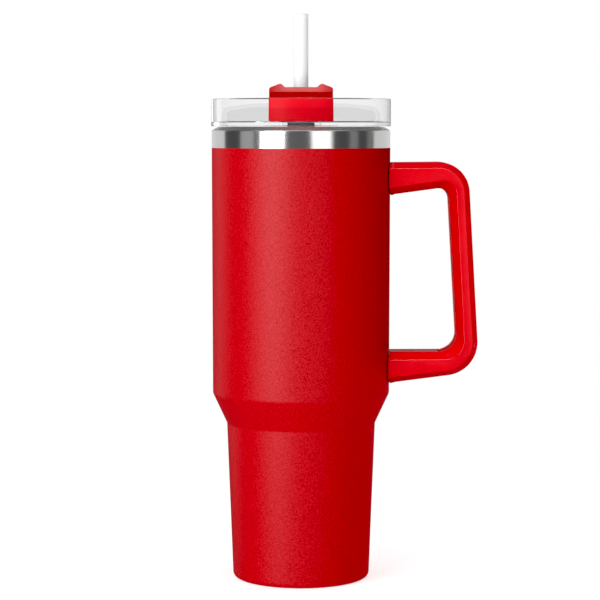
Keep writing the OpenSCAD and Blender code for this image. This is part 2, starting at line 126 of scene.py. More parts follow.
def rounded(path, steps=8, closed=False):
    """A path of (x, y) or (x, y, corner radius), with its corners rounded."""
    points = []
    count = len(path)
    for i, point in enumerate(path):
        radius = point[2] if len(point) > 2 else 0
        ends = i in (0, count - 1) and not closed
        if radius and not ends:
            before, after = path[i - 1][:2], path[(i + 1) % count][:2]
            points += corner(before, point[:2], after, radius, steps)
        else:
            points.append(Vector(point[:2]))
    return points


def new_piece(name, vertices, faces, sharp_angle=30):
    """A mesh object from points in millimetres, smooth apart from its sharp edges."""
    mesh = bpy.data.meshes.new(name)
    mesh.from_pydata([Vector(v) * MM for v in vertices], [], faces)
    bm = bmesh.new()
    bm.from_mesh(mesh)
    bmesh.ops.recalc_face_normals(bm, faces=bm.faces)
    bm.to_mesh(mesh)
    bm.free()
    piece = bpy.data.objects.new(name, mesh)
    bpy.context.scene.collection.objects.link(piece)
    shade(piece, sharp_angle)
    return piece


def shade(piece, sharp_angle):
    """Shades a piece smooth, apart from edges that bend by more than an angle in degrees."""
    piece.data.shade_smooth()
    piece.data.set_sharp_from_angle(angle=math.radians(sharp_angle))


def lathe(name, outline, segments=SEGMENTS, sharp_angle=30):
    """A closed outline of (radius, height) turned round the Z axis. Points at radius 0 are poles."""
    vertices, rings = [], []
    for radius, height in outline:
        if radius < 1e-6:
            rings.append([len(vertices)])
            vertices.append((0, 0, height))
            continue
        rings.append(list(range(len(vertices), len(vertices) + segments)))
        for k in range(segments):
            angle = 2 * math.pi * k / segments
            vertices.append((radius * math.cos(angle), radius * math.sin(angle), height))
    faces = []
    pairs = list(zip(rings, rings[1:]))
    if len(rings[0]) > 1 or len(rings[-1]) > 1:
        pairs.append((rings[-1], rings[0]))
    for low, high in pairs:
        for k in range(segments):
            after = (k + 1) % segments
            if len(low) == 1:
                faces.append((low[0], high[after], high[k]))
            elif len(high) == 1:
                faces.append((low[k], low[after], high[0]))
            else:
                faces.append((low[k], low[after], high[after], high[k]))
    return new_piece(name, vertices, faces, sharp_angle)


def loft(name, rings, sharp_angle=30):
    """A closed tube through rings of points, with its ends capped."""
    count = len(rings[0])
    vertices = [point for ring in rings for point in ring]
    faces = [tuple(range(count)), tuple(range(len(vertices) - count, len(vertices)))]
    for i in range(len(rings) - 1):
        for j in range(count):
            a, b = i * count + j, i * count + (j + 1) % count
            faces.append((a, b, b + count, a + count))
    return new_piece(name, vertices, faces, sharp_angle)


def apply_modifiers(piece, sharp_angle=30):
    """Turns a piece's modifiers into its mesh."""
    graph = bpy.context.evaluated_depsgraph_get()
    mesh = bpy.data.meshes.new_from_object(piece.evaluated_get(graph))
    piece.modifiers.clear()
    piece.data = mesh
    shade(piece, sharp_angle)


def cut(piece, cutters, operation="DIFFERENCE"):
    """Cuts a piece with others, which are then removed."""
    for cutter in cutters:
        boolean = piece.modifiers.new("cut", "BOOLEAN")
        boolean.operation = operation
        boolean.object = cutter
        boolean.solver = "EXACT"
    apply_modifiers(piece)
    for cutter in cutters:
        bpy.data.objects.remove(cutter)


def soften(piece, width, segments=3, angle=30):
    """Rounds a piece's sharp edges."""
    bevel = piece.modifiers.new("soften", "BEVEL")
    bevel.width = width * MM
    bevel.segments = segments
    bevel.limit_method = "ANGLE"
    bevel.angle_limit = math.radians(angle)
    bevel.use_clamp_overlap = True
    bevel.harden_normals = False
    apply_modifiers(piece, sharp_angle=50)


def prism(name, outline, low, high):
    """An outline of (x, y) raised from one height to another."""
    return loft(name, [[(x, y, z) for x, y in outline] for z in (low, high)])


def cylinder(name, centre, radius, low, high, segments=64):
    """An upright cylinder about a centre (x, y)."""
    angles = [2 * math.pi * k / segments for k in range(segments)]
    outline = [(centre[0] + radius * math.cos(a), centre[1] + radius * math.sin(a)) for a in angles]
    return prism(name, outline, low, high)


# ---------------------------------------------------------------- materials

def new_material(name, **sockets):
    """A material and its Principled shader, with constant values set on the shader's sockets."""
    material = bpy.data.materials.new(name)
    material.use_nodes = True
    shader = material.node_tree.nodes["Principled BSDF"]
    for socket, value in sockets.items():
        shader.inputs[socket.replace("_", " ")].default_value = value
    return material, shader


def add_node(material, kind, **values):
    """A shader node, with its properties and its inputs' values set by name."""
    node = material.node_tree.nodes.new(kind)
    for key, value in values.items():
        if hasattr(node, key):
            setattr(node, key, value)
        else:
            node.inputs[key.replace("_", " ")].default_value = value
    return node


def link(material, start, end):
    """Joins an output to an input in a material or a world."""
    material.node_tree.links.new(start, end)


def object_coordinates(material, scale=(1, 1, 1)):
    """Object coordinates in millimetres, stretched by scale."""
    coordinates = add_node(material, "ShaderNodeTexCoord")
    mapping = add_node(material, "ShaderNodeMapping")
    mapping.inputs["Scale"].default_value = [s / MM for s in scale]
    link(material, coordinates.outputs["Object"], mapping.inputs["Vector"])
    return mapping.outputs["Vector"]


def noise(material, size, scale=(1, 1, 1), detail=2.0, roughness=0.5):
    """Noise with features of a size in millimetres."""
    node = add_node(material, "ShaderNodeTexNoise", Scale=1 / size, Detail=detail, Roughness=roughness)
    link(material, object_coordinates(material, scale), node.inputs["Vector"])
    return node.outputs["Fac"]


def bump(material, shader, height, depth, strength=1.0, normal=None):
    """A bump whose full height is depth millimetres."""
    node = add_node(material, "ShaderNodeBump", Strength=strength, Distance=depth * MM)
    link(material, height, node.inputs["Height"])
    if normal is not None:
        link(material, normal, node.inputs["Normal"])
    link(material, node.outputs["Normal"], shader.inputs["Normal"])
    return node.outputs["Normal"]


def vary(material, shader, socket, source, low, high):
    """Lets a number on the shader run from low to high with a texture."""
    node = add_node(material, "ShaderNodeMapRange", To_Min=low, To_Max=high, From_Min=0.3, From_Max=0.7)
    link(material, source, node.inputs["Value"])
    link(material, node.outputs["Result"], shader.inputs[socket])


def vary_colour(material, shader, source, dark, light):
    """Lets the base colour run between two colours with a texture."""
    ramp = add_node(material, "ShaderNodeValToRGB")
    ramp.color_ramp.elements[0].position = 0.3
    ramp.color_ramp.elements[0].color = (*dark, 1)
    ramp.color_ramp.elements[1].position = 0.7
    ramp.color_ramp.elements[1].color = (*light, 1)
    link(material, source, ramp.inputs["Fac"])
    link(material, ramp.outputs["Color"], shader.inputs["Base Color"])


def powder_coat():
    """Baked powder on a slow orange peel. Its grains differ in gloss, so they show in the highlights."""
    material, shader = new_material("powder_coat_red")
    grain = noise(material, 0.8, detail=3, roughness=0.7)
    vary_colour(material, shader, grain, (0.32, 0.0, 0.003), (0.48, 0.0, 0.006))
    vary(material, shader, "Roughness", grain, 0.42, 0.52)
    vary(material, shader, "Specular IOR Level", grain, 0.19, 0.47)
    peel = bump(material, shader, noise(material, 4.0, detail=1), 0.05, 0.5)
    bump(material, shader, grain, 0.14, 0.7, peel)
    return material


def turned_steel(name, base, roughness, line, depth):
    """Steel brushed round the mug's axis: long fine lines along the brushing."""
    material, shader = new_material(name, Metallic=1.0, Anisotropic=0.75, Anisotropic_Rotation=0.25)
    tangent = add_node(material, "ShaderNodeTangent", direction_type="RADIAL", axis="Z")
    link(material, tangent.outputs["Tangent"], shader.inputs["Tangent"])
    lines = noise(material, line, scale=(0.02, 0.02, 1), detail=4, roughness=0.7)
    vary_colour(material, shader, lines, [c * 0.93 for c in base], base)
    vary(material, shader, "Roughness", lines, roughness - 0.04, roughness + 0.05)
    bump(material, shader, lines, depth, 0.4)
    return material


def matte_inside(material, radius, top, metallic):
    """Lowers the Metallic of steel inside a radius and below a height, both in millimetres.

    The inside of the vessel isn't polished, so it scatters light and looks grey instead of black.
    """
    shader = material.node_tree.nodes["Principled BSDF"]
    edge, fade = 0.5, 20
    across = add_node(material, "ShaderNodeVectorMath", operation="LENGTH")
    up = add_node(material, "ShaderNodeSeparateXYZ")
    outside = add_node(
        material, "ShaderNodeMapRange", From_Min=radius - edge, From_Max=radius, To_Min=metallic
    )
    above = add_node(material, "ShaderNodeMapRange", From_Min=top - fade, From_Max=top, To_Min=metallic)
    polished = add_node(material, "ShaderNodeMath", operation="MAXIMUM")
    link(material, object_coordinates(material, (1, 1, 0)), across.inputs[0])
    link(material, object_coordinates(material), up.inputs[0])
    link(material, across.outputs["Value"], outside.inputs["Value"])
    link(material, up.outputs["Z"], above.inputs["Value"])
    link(material, outside.outputs["Result"], polished.inputs[0])
    link(material, above.outputs["Result"], polished.inputs[1])
    link(material, polished.outputs[0], shader.inputs["Metallic"])


def plain_steel(name, base, roughness):
    """Bare metal with an even, fine grain."""
    material, shader = new_material(name, Metallic=1.0)
    grain = noise(material, 0.8, detail=3)
    vary_colour(material, shader, grain, [c * 0.9 for c in base], base)
    vary(material, shader, "Roughness", grain, roughness - 0.05, roughness + 0.08)
    bump(material, shader, grain, 0.01, 0.3)
    return material


def moulded_plastic(name, dark, light, roughness, specular=0.35, grain_size=0.3, depth=0.02):
    """Moulded plastic with a fine spark-eroded texture."""
    material, shader = new_material(name, Specular_IOR_Level=specular)
    grain = noise(material, grain_size, detail=2, roughness=0.6)
    cloud = noise(material, 14, detail=2)
    vary_colour(material, shader, cloud, dark, light)
    vary(material, shader, "Roughness", grain, roughness - 0.04, roughness + 0.05)
    bump(material, shader, grain, depth, 0.5)
    return material


def clear_plastic():
    """Polished clear plastic. Lamps shine through it, and a ray bends at its first two walls only."""
    material, shader = new_material(
        "clear_plastic", Base_Color=(0.99, 0.99, 0.99, 1), Transmission_Weight=1.0, IOR=1.49,
        Specular_Tint=(0.15, 0.15, 0.15, 1)
    )
    vary(material, shader, "Roughness", noise(material, 3, detail=3), 0.0, 0.03)
    bump(material, shader, noise(material, 9, detail=1), 0.02, 0.4)
    ray = add_node(material, "ShaderNodeLightPath")
    deep = add_node(material, "ShaderNodeMath", operation="GREATER_THAN")
    deep.inputs[1].default_value = 1.5          # the depth is 0 at the first wall
    further = add_node(material, "ShaderNodeBsdfTransparent", Color=(0.945, 0.945, 0.945, 1))
    inner = add_node(material, "ShaderNodeMixShader")
    lit = add_node(material, "ShaderNodeBsdfTransparent", Color=(0.985, 0.985, 0.985, 1))
    outer = add_node(material, "ShaderNodeMixShader")
    output = material.node_tree.nodes["Material Output"]
    link(material, ray.outputs["Ray Depth"], deep.inputs[0])
    link(material, deep.outputs[0], inner.inputs["Fac"])
    link(material, shader.outputs[0], inner.inputs[1])
    link(material, further.outputs[0], inner.inputs[2])
    link(material, ray.outputs["Is Shadow Ray"], outer.inputs["Fac"])
    link(material, inner.outputs[0], outer.inputs[1])
    link(material, lit.outputs[0], outer.inputs[2])
    link(material, outer.outputs[0], output.inputs["Surface"])
    return material


def silicone():
    """Cloudy translucent silicone."""
    material, shader = new_material(
        "clear_silicone", Transmission_Weight=0.7, IOR=1.41, Subsurface_Weight=0.2,
        Subsurface_Radius=(0.002, 0.002, 0.002)
    )
    cloud = noise(material, 2, detail=2)
    vary_colour(material, shader, cloud, (0.82, 0.83, 0.83), (0.88, 0.89, 0.89))
    vary(material, shader, "Roughness", cloud, 0.35, 0.5)
    bump(material, shader, noise(material, 0.4, detail=2), 0.01, 0.3)
    return material


def frosted_plastic():
    """Milky, translucent straw plastic with faint lines along the tube, as it was drawn."""
    material, shader = new_material("frosted_plastic", Transmission_Weight=0.25, IOR=1.46)
    lines = noise(material, 0.5, scale=(1, 1, 0.02), detail=2)
    vary_colour(material, shader, lines, (0.90, 0.90, 0.90), (0.95, 0.95, 0.95))
    vary(material, shader, "Roughness", lines, 0.35, 0.5)
    bump(material, shader, lines, 0.01, 0.3)
    return material


# ---------------------------------------------------------------- cup

def cup_shell():
    """The coated body, from its top edge over the shoulder and stem to the turned-in hem."""
    outside = [
        (HEM_R, 0.25, 0.2), (HEM_R + 0.25, 0), (BASE_R, 0, 3), (STEM_R, STEM_Z, 3),
        (SHOULDER_R, SHOULDER_Z, 5), (BODY_R, COAT_Z, 0.12)
    ]
    inside = [
        (BODY_R - SHELL_T, COAT_Z), (SHOULDER_R - SHELL_T, SHOULDER_Z, 5), (STEM_R - SHELL_T, STEM_Z, 3),
        (BASE_R - SHELL_T, SHELL_T, 2), (HEM_R, SHELL_T)
    ]
    return lathe("cup_shell", rounded(outside + inside, steps=10, closed=True))


def cup_liner():
    """The drinking vessel, whose wall rolls out over the lip and down as the bare band."""
    vessel = [
        (0, LINER_FLOOR_Z + LINER_T), (BASE_R - 4.6, LINER_FLOOR_Z + LINER_T, 7.3),
        (STEM_R - 4.8, STEM_Z + 1, 4), (SHOULDER_R - 4.6, SHOULDER_Z + 2, 5), (MOUTH_R, LIP_Z - 3.2, 3)
    ]
    lip = [
        (MOUTH_R, LIP_Z, 0.5), (MOUTH_R + 1.1, LIP_Z, 0.5), (BAND_R, LIP_Z - 2.1, 0.8),
        (BAND_R, COAT_Z - 0.4), (BAND_R - SHELL_T + 0.1, COAT_Z - 0.4),
        (BAND_R - SHELL_T + 0.1, LIP_Z - 2.6, 0.8), (MOUTH_R + 1.1, LIP_Z - 1, 0.2)
    ]
    outside = [
        (MOUTH_R + LINER_T, LIP_Z - 1.4), (MOUTH_R + LINER_T, LIP_Z - 3.2),
        (SHOULDER_R - 3.9, SHOULDER_Z + 2, 5), (STEM_R - 4.1, STEM_Z + 1, 4),
        (BASE_R - 3.9, LINER_FLOOR_Z, 8), (0, LINER_FLOOR_Z)
    ]
    return lathe("cup_liner", rounded(vessel + lip + outside, steps=8))


# ---------------------------------------------------------------- handle

BEND_STEPS = 24                  # stations of the loop in a bend
RUN_STEPS = 6                    # and in a straight run
PALM_FOOT = (HANDLE_REACH - GRIP_DEPTH, HANDLE_FOOT_Z + LOWER_ARM_DEPTH)
PALM_TOP_Z = HANDLE_TOP_Z - UPPER_ARM_DEPTH
BACK_PATH = [
    (ROOT_X, HANDLE_TOP_Z - 0.4),
    (HANDLE_REACH - GRIP_LEAN * (HANDLE_TOP_Z - HANDLE_FOOT_Z), HANDLE_TOP_Z, 17.3),
    (HANDLE_REACH, HANDLE_FOOT_Z, 18.5),
    (ROOT_X, HANDLE_FOOT_Z - 6.7)
]
PALM_PATH = [
    (ROOT_X, HANDLE_TOP_Z - 18.5),
    (PALM_FOOT[0] - GRIP_LEAN * (PALM_TOP_Z - PALM_FOOT[1]), PALM_TOP_Z, 6),
    (*PALM_FOOT, 10),
    (ROOT_X, PALM_FOOT[1] - 0.1)
]


def divided(points, steps):
    """A rounded path with its straight runs divided, so that its ends, bends and runs stay in step."""
    bends = [1, 1 + BEND_STEPS + 1]
    result = []
    for i, point in enumerate(points):
        result.append(point)
        last_of_run = i in (0, bends[0] + BEND_STEPS, bends[1] + BEND_STEPS)
        if last_of_run and i + 1 < len(points):
            result += [point.lerp(points[i + 1], k / steps) for k in range(1, steps)]
    return result


def bend_share(i):
    """How far into a bend station i of the loop lies, from 0 on a straight run to 1 at mid-bend."""
    for first in (RUN_STEPS, 2 * RUN_STEPS + BEND_STEPS):
        if first <= i <= first + BEND_STEPS:
            return math.sin(math.pi * (i - first) / BEND_STEPS)
    return 0.0


BACK_LINE = divided(rounded(BACK_PATH, BEND_STEPS), RUN_STEPS)
PALM_LINE = divided(rounded(PALM_PATH, BEND_STEPS), RUN_STEPS)
FIRST_BEND = RUN_STEPS
LAST_BEND = len(BACK_LINE) - 1 - RUN_STEPS


def on_loop(i, depth, y):
    """The point at a depth from the palm side towards the back, at station i."""
    palm, back = PALM_LINE[i], BACK_LINE[i]
    spot = palm + (back - palm).normalized() * depth
    return (spot.x, y, spot.y)


def handle_section(i, inset=0.0, groove=0.0):
    """The loop's eight-sided section at station i as (depth, y), with a groove on its palm side."""
    full = (BACK_LINE[i] - PALM_LINE[i]).length
    palm_chamfer = PALM_CHAMFER + PALM_CHAMFER_BEND * bend_share(i)
    side = SIDE_HALF_W - inset
    half = [
        (inset, PALM_HALF_W - inset * 0.5, CREASE_R), (palm_chamfer, side, CREASE_R),
        (full - BACK_CHAMFER, side, CREASE_R), (full - inset, BACK_HALF_W - inset * 0.5, CREASE_R)
    ]
    mirrored = [(depth, -y, radius) for depth, y, radius in reversed(half)]
    outline = rounded(half + mirrored, steps=4, closed=True)
    lip, draft = 0.15, 0.25
    notch_half = [
        (inset, GROOVE_HALF_W + lip), (inset + groove * 0.1, GROOVE_HALF_W),
        (inset + groove, GROOVE_HALF_W - draft)
    ]
    notch = [Vector((depth, -y)) for depth, y in notch_half]
    notch += [Vector(spot) for spot in reversed(notch_half)]
    return outline + notch


def shell_radius(z):
    """Radius of the coated body above the shoulder."""
    return SHOULDER_R + (BODY_R - SHOULDER_R) * (z - SHOULDER_Z) / (COAT_Z - SHOULDER_Z)


def root_ring(i, gap, inset):
    """The handle's end, which follows the body's curve at a gap."""
    ring = []
    for depth, y in handle_section(i, inset):
        _, y, z = on_loop(i, depth, y)
        ring.append((math.sqrt((shell_radius(z) + gap) ** 2 - y * y), y, z))
    return ring


def handle_loop():
    """The handle's shell and the cutters for its plugs' bores.

    The shell is one eight-sided sweep with rounded ends and a groove for the grip strip.
    """
    ends = [(HANDLE_GAP, 0.9), (HANDLE_GAP + 0.25, 0.35), (HANDLE_GAP + 0.9, 0.0)]     # (gap, inset)
    rings = [root_ring(0, gap, inset) for gap, inset in ends]
    for i in range(1, len(BACK_LINE) - 1):
        groove = GROOVE_DEPTH if FIRST_BEND < i < LAST_BEND else 0.0
        rings.append([on_loop(i, depth, y) for depth, y in handle_section(i, 0, groove)])
    rings += [root_ring(len(BACK_LINE) - 1, gap, inset) for gap, inset in reversed(ends)]
    piece = loft("handle_loop", rings, sharp_angle=28)
    bores = [cylinder("bore", (SCREW_X, 0), PLUG_BORE_R, low, high) for low, high in PLUG_BORE_SPANS]
    return piece, bores


def grip_strip():
    """The soft strip in the palm side of the grip."""
    sunk, crown = 0.25, 0.25
    half = GROOVE_HALF_W - 0.15
    half_outline = [
        (GROOVE_DEPTH - 0.1, half - 0.25, 0), (0.15, half, 0.5), (0.15 - crown, half - 3.5, 6)
    ]
    mirrored = [(depth, -y, radius) for depth, y, radius in reversed(half_outline)]
    outline = rounded(half_outline + mirrored, steps=5)
    rings = [
        [on_loop(i, depth + sunk, y) for depth, y in outline]
        for i in range(FIRST_BEND + 1, LAST_BEND)
    ]
    return loft("grip_strip", rings, sharp_angle=40)


# ---------------------------------------------------------------- lid and cover

FLANGE_Z = LIP_Z + 0.3
DECK_Z = FLANGE_Z + 2
COVER_HALF_W = CARRIAGE_HIGH.x
COVER_FRONT_R = 41
COVER_BACK_Y = 14
NECK_FRONT_R = 37.6
GRIP_LIP_Z = DECK_Z + 16.4
GRIP_SADDLE_Z = DECK_Z + 19
RAIL_Z = DECK_Z + 3
RAIL_GROOVE = (RAIL_Z - 0.3, RAIL_Z + 1.5)     # lowest and highest point of the groove for a rail
SEAL_HALF_W = 11.3                             # of the seal's seat under the cover
SEAL_FRONT_Y = -38.2
SEAL_BACK_Y = -29.7
SLOT_HALF_W = 4.7
COVER_TRAVEL = 14
STRAW_R = 4.05
STRAW_T = 0.8


def cover_outline(front_r, half_w=COVER_HALF_W, back_y=COVER_BACK_Y, corner_r=1.2, steps=40):
    """Plan of the cover: straight sides, a straight back and a front that is an arc about the axis."""
    side_angle = math.asin((half_w - 0.001) / front_r)
    arc = [
        (front_r * math.sin(side_angle * k / steps), -front_r * math.cos(side_angle * k / steps))
        for k in range(-steps + 2, steps - 1)
    ]
    first, last = arc[0], arc[-1]
    side_y = -front_r * math.cos(side_angle)
    left = corner(first, (-half_w, side_y), (-half_w, back_y), corner_r, 6)
    right = corner((half_w, back_y), (half_w, side_y), last, corner_r, 6)
    arc = [p for p in arc if left[0].x + 0.3 < p[0] < right[-1].x - 0.3]
    back = corner((half_w, side_y), (half_w, back_y), (-half_w, back_y), corner_r, 6)
    front = [tuple(p) for p in reversed(left)] + arc + [tuple(p) for p in reversed(right)]
    return front + [tuple(p) for p in back] + [(-p.x, p.y) for p in reversed(back)]


def straw_slot(low, high):
    """Cutter for the long hole that lets the cover slide past the straw."""
    half_turn = [math.pi * k / 24 for k in range(25)]
    outline = [(SLOT_HALF_W * math.cos(a), SLOT_HALF_W * math.sin(a)) for a in half_turn]
    outline += [(-x, -COVER_TRAVEL - y) for x, y in outline]
    return prism("slot", outline, low, high)


def cover_block():
    """The red block that runs in the lid, with a rail groove down each side."""
    piece = prism("cover_block", cover_outline(COVER_FRONT_R), CARRIAGE_LOW.z, CARRIAGE_HIGH.z)
    cutters = [straw_slot(CARRIAGE_LOW.z - 1, CARRIAGE_HIGH.z + 1)]
    for side in (-1, 1):
        inner, outer = side * (COVER_HALF_W - 0.95), side * (COVER_HALF_W + 1)
        outline = [(inner, -26), (outer, -26), (outer, COVER_BACK_Y + 1), (inner, COVER_BACK_Y + 1)]
        cutters.append(prism("groove", outline, *RAIL_GROOVE))
    seat = [
        (-SEAL_HALF_W, SEAL_FRONT_Y), (SEAL_HALF_W, SEAL_FRONT_Y),
        (SEAL_HALF_W, SEAL_BACK_Y), (-SEAL_HALF_W, SEAL_BACK_Y)
    ]
    cutters.append(prism("seat", seat, CARRIAGE_LOW.z - 1, CARRIAGE_LOW.z + 2))
    cut(piece, cutters)
    soften(piece, 0.35)
    return piece


def cover_top():
    """The grip: a bevelled lip over a finger groove, and two ears with a saddle between them."""
    heights = [
        (NECK_FRONT_R, GRIP_LOW.z), (NECK_FRONT_R, GRIP_LIP_Z), (COVER_FRONT_R - 0.6, GRIP_LIP_Z),
        (COVER_FRONT_R - 4.8, GRIP_HIGH.z)
    ]
    wide = COVER_HALF_W + 1
    rings = [
        [(x, y, z) for x, y in cover_outline(front_r, wide, COVER_BACK_Y, corner_r=0.4)]
        for front_r, z in heights
    ]
    piece = loft("cover_top", rings)
    half = [
        (COVER_HALF_W, GRIP_LOW.z - 1), (COVER_HALF_W, GRIP_SADDLE_Z - 0.9),
        (COVER_HALF_W - 0.6, GRIP_SADDLE_Z - 0.1),
        (11.8, GRIP_HIGH.z), (10.6, GRIP_HIGH.z), (8.6, GRIP_SADDLE_Z)
    ]
    profile = half + [(-x, z) for x, z in reversed(half)]
    front = loft("front", [[(x, y, z) for x, z in profile] for y in (-50, 20)])
    cut(piece, [front], "INTERSECT")
    cut(piece, [straw_slot(GRIP_LOW.z - 1, GRIP_HIGH.z + 1)])
    soften(piece, 0.4)
    return piece


def gasket_ring():
    """The plug's silicone ring, with two round-edged lips that lean up the wall."""
    seat, lip, root = 42.05, GASKET_HIGH.y, 43.35
    low, high = GASKET_LOW.z, GASKET_HIGH.z
    outline = [
        (seat, low, 0.3), (root - 0.1, low, 0.3), (lip, low + 0.9, 0.25), (lip, low + 1.5, 0.2),
        (root, low + 1.7, 0.3), (root, high - 2.1, 0.3), (lip, high - 1.1, 0.25), (lip, high - 0.5, 0.2),
        (root - 0.1, high, 0.3), (seat, high, 0.3)
    ]
    return lathe("gasket_ring", rounded(outline, steps=4, closed=True), sharp_angle=60)


def grommet_ring():
    """The silicone ring round the straw, clipped into the deck from below."""
    low, high = GROMMET_LOW.z, GROMMET_HIGH.z
    under_deck = FLANGE_Z - 0.05
    outline = [
        (STRAW_R + 0.1, low, 0.2), (7.8, low, 0.4), (7.8, under_deck, 0.3), (6.15, under_deck, 0.1),
        (6.15, high, 0.2), (STRAW_R + 0.5, high, 0.2), (STRAW_R + 0.1, high - 1.4, 0.3)
    ]
    return lathe("grommet_ring", rounded(outline, steps=4, closed=True), segments=96, sharp_angle=60)


def straw_tube():
    """The straw, with its ends rounded."""
    inner = STRAW_R - STRAW_T
    low, high = STRAW_LOW.z, STRAW_HIGH.z
    edge = STRAW_T * 0.45
    outline = [(inner, low, edge), (STRAW_R, low, edge), (STRAW_R, high, edge), (inner, high, edge)]
    return lathe("straw_tube", rounded(outline, steps=5, closed=True), segments=96)


# ---------------------------------------------------------------- stage

FLOOR_R = 450
FLOOR_FADE = 330                 # width of the floor's faded rim
FLOOR_GLOW = 0.62                # with the lamps' light it makes white, and a faint shadow round the foot


def floor():
    """A pale disc that fades into the backdrop round its rim, and is clear from below."""
    piece = lathe("floor", [(0, -0.02), (FLOOR_R, -0.02), (FLOOR_R, -1), (0, -1)], segments=96)
    material = bpy.data.materials.new("floor")
    material.use_nodes = True
    nodes = material.node_tree.nodes
    nodes.clear()
    diffuse = add_node(material, "ShaderNodeBsdfDiffuse", Color=(0.5, 0.5, 0.5, 1))
    glow = add_node(material, "ShaderNodeEmission", Color=(1, 1, 1, 1), Strength=FLOOR_GLOW)
    lit = add_node(material, "ShaderNodeAddShader")
    clear = add_node(material, "ShaderNodeBsdfTransparent")
    mix = add_node(material, "ShaderNodeMixShader")
    output = add_node(material, "ShaderNodeOutputMaterial")
    length = add_node(material, "ShaderNodeVectorMath", operation="LENGTH")
    fade = add_node(
        material, "ShaderNodeMapRange", interpolation_type="SMOOTHSTEP",
        From_Min=FLOOR_R - FLOOR_FADE, From_Max=FLOOR_R
    )
    link(material, object_coordinates(material), length.inputs[0])
    link(material, length.outputs["Value"], fade.inputs["Value"])
    geometry = add_node(material, "ShaderNodeNewGeometry")
    facing = add_node(material, "ShaderNodeSeparateXYZ")
    from_below = add_node(material, "ShaderNodeMath", operation="LESS_THAN")
    from_below.inputs[1].default_value = 0
    hidden = add_node(material, "ShaderNodeMath", operation="MAXIMUM")
    link(material, geometry.outputs["Normal"], facing.inputs[0])
    link(material, facing.outputs["Z"], from_below.inputs[0])
    link(material, fade.outputs["Result"], hidden.inputs[0])
    link(material, from_below.outputs[0], hidden.inputs[1])
    link(material, hidden.outputs[0], mix.inputs["Fac"])
    link(material, diffuse.outputs[0], lit.inputs[0])
    link(material, glow.outputs[0], lit.inputs[1])
    link(material, lit.outputs[0], mix.inputs[1])
    link(material, clear.outputs[0], mix.inputs[2])
    link(material, mix.outputs[0], output.inputs["Surface"])
    piece.data.materials.append(material)
    piece.visible_glossy = False
    piece.visible_diffuse = False
    piece.visible_shadow = False
    return piece


# What the mug's surfaces meet, where white is 1: the room's walls and its ceiling in reflections,
# the room in reflections of reflections, and the soft light from above and from below
WALLS, CEILING = 0.11, 0.2
INNER = 0.8
SKY, GROUND = 0.26, 0.95
BLACK_LEVEL = 0.025              # brightness that is shown as black, for contrast


def shade_between(world, height, low, high, start, end):
    """A grey that runs from one brightness to another as a direction's height goes from start to end."""
    rise = add_node(world, "ShaderNodeMapRange", From_Min=start, From_Max=end, To_Min=low, To_Max=high)
    link(world, height, rise.inputs["Value"])
    return rise.outputs["Result"]


def choose(world, share, usual, other):
    """One brightness, or another where the share is 1."""
    mix = add_node(world, "ShaderNodeMix", data_type="FLOAT")
    link(world, share, mix.inputs["Factor"])
    link(world, usual, mix.inputs["A"])
    link(world, other, mix.inputs["B"])
    return mix.outputs["Result"]


def studio():
    """A white backdrop, seen directly and through the clear parts, in a room that reflects dark."""
    world = bpy.data.worlds.new("studio")
    bpy.context.scene.world = world
    world.use_nodes = True
    world.cycles.sampling_method = "NONE"
    world.node_tree.nodes.clear()

    coordinates = add_node(world, "ShaderNodeTexCoord")
    split = add_node(world, "ShaderNodeSeparateXYZ")
    link(world, coordinates.outputs["Generated"], split.inputs[0])
    height = split.outputs["Z"]
    slope = add_node(world, "ShaderNodeMath", operation="ABSOLUTE")
    link(world, height, slope.inputs[0])
    room = shade_between(world, slope.outputs[0], WALLS, CEILING, 0.45, 0.7)
    soft = shade_between(world, height, GROUND, SKY, -0.3, 0.3)
    white = add_node(world, "ShaderNodeValue")
    white.outputs[0].default_value = 1.0

    ray = add_node(world, "ShaderNodeLightPath")
    mirrored = add_node(world, "ShaderNodeMath", operation="SUBTRACT", use_clamp=True)
    again = add_node(world, "ShaderNodeMath", operation="GREATER_THAN")
    again.inputs[1].default_value = 2.5         # here the depth of a first reflection is 2
    inner = add_node(world, "ShaderNodeValue")
    inner.outputs[0].default_value = INNER
    link(world, ray.outputs["Is Glossy Ray"], mirrored.inputs[0])
    link(world, ray.outputs["Is Transmission Ray"], mirrored.inputs[1])
    link(world, ray.outputs["Ray Depth"], again.inputs[0])
    room = choose(world, again.outputs[0], room, inner.outputs[0])
    through = shade_between(world, height, 1.0, CEILING, 0.4, 0.7)
    seen = choose(world, ray.outputs["Is Transmission Ray"], white.outputs[0], through)
    seen = choose(world, ray.outputs["Is Diffuse Ray"], seen, soft)
    seen = choose(world, mirrored.outputs[0], seen, room)

    background = add_node(world, "ShaderNodeBackground")
    output = add_node(world, "ShaderNodeOutputWorld")
    link(world, seen, background.inputs["Color"])
    link(world, background.outputs[0], output.inputs["Surface"])


def softbox(name, azimuth, distance, height, width, tall, brightness, target_z=0.16):
    """An area lamp that faces a height on the mug's axis. Its radiance is brightness, where white is 1.

    The azimuth is in degrees from the camera towards +X, and the sizes are in metres.
    """
    data = bpy.data.lights.new(name, "AREA")
    data.shape = "RECTANGLE"
    data.size, data.size_y = width, tall
    data.energy = brightness * math.pi * width * tall
    lamp = bpy.data.objects.new(name, data)
    bpy.context.scene.collection.objects.link(lamp)
    angle = math.radians(azimuth)
    lamp.location = (distance * math.sin(angle), -distance * math.cos(angle), height)
    aim = Vector((0, 0, target_z)) - lamp.location
    lamp.rotation_euler = aim.to_track_quat("-Z", "Y").to_euler()
    lamp.visible_camera = False
    lamp.visible_transmission = False
    return lamp


